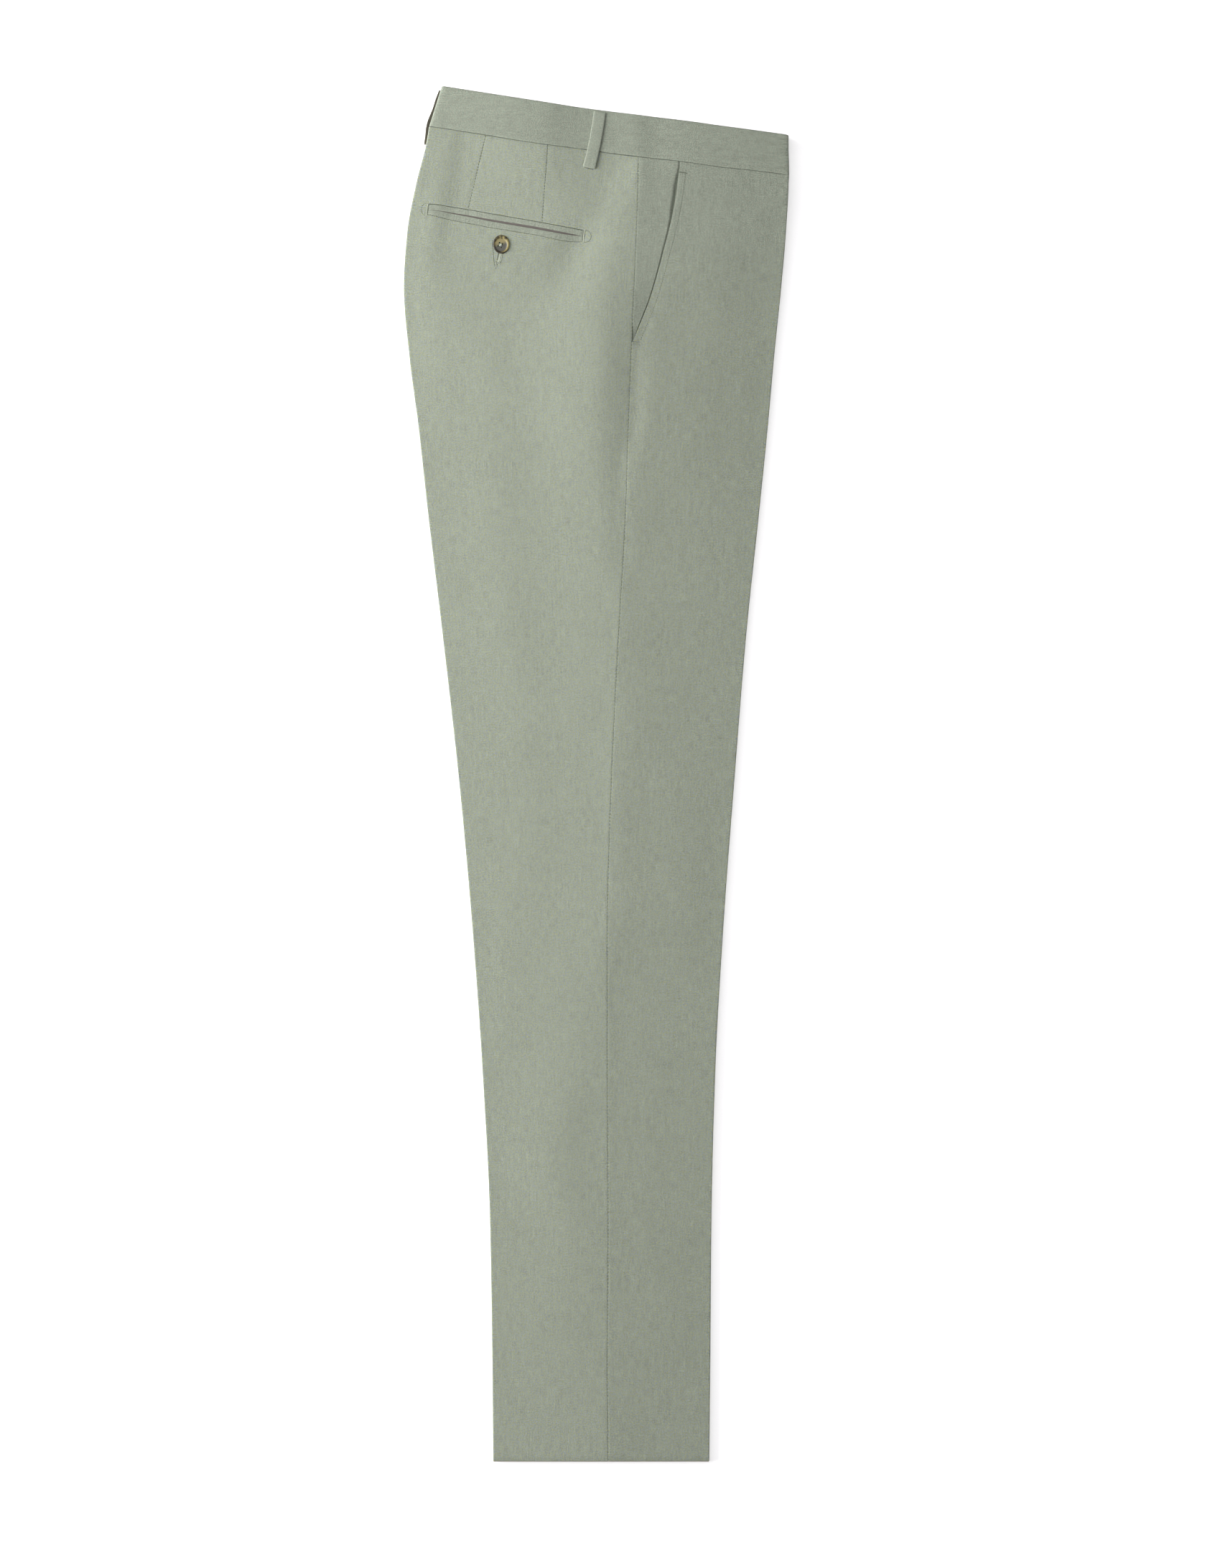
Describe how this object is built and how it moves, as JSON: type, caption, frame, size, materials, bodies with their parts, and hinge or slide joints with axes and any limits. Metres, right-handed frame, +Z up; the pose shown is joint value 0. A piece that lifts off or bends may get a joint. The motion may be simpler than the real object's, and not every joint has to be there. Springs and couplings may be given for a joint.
{
  "type": "linen suit trousers, folded flat",
  "caption": "Plain linen suit trousers folded on their creases and lying flat on one side, with slant pockets, a welted and buttoned back pocket, a waistband and belt loops.",
  "frame": {"origin": "centre of the bounding box on its lowest plane, which is the surface the trousers lie on", "axes": "+X to the front of the trousers, +Y from the hem to the waist, +Z up, out of the right leg's outer side"},
  "size_m": [0.3178, 1.1298, 0.0169],
  "materials": {
    "linen": "plain-woven linen, pale grey-green, dry and slightly slubby",
    "linen_band": "the same linen over a firm interlining",
    "linen_trim": "the same linen, folded and stitched to belt loops, welts and facings",
    "horn": "mottled horn look, satin"
  },
  "bodies": {
    "root": {"front_right": "linen", "front_right_folded_in": "linen", "back_right": "linen", "back_right_folded_in": "linen", "front_left": "linen", "front_left_folded_in": "linen", "back_left": "linen", "back_left_folded_in": "linen", "pocket_facing_right": "linen_trim", "pocket_facing_left": "linen_trim", "waistband_right": "linen_band", "waistband_left": "linen_band", "belt_loop_side_right": "linen_trim", "belt_loop_side_left": "linen_trim", "belt_loop_back_right": "linen_trim", "belt_loop_back_left": "linen_trim", "belt_loop_front_right": "linen_trim", "belt_loop_front_left": "linen_trim", "pocket_welt_upper": "linen_trim", "pocket_welt_lower": "linen_trim", "fly_strip": "linen_trim", "back_pocket_button": "horn"}
  },
  "joints": []
}
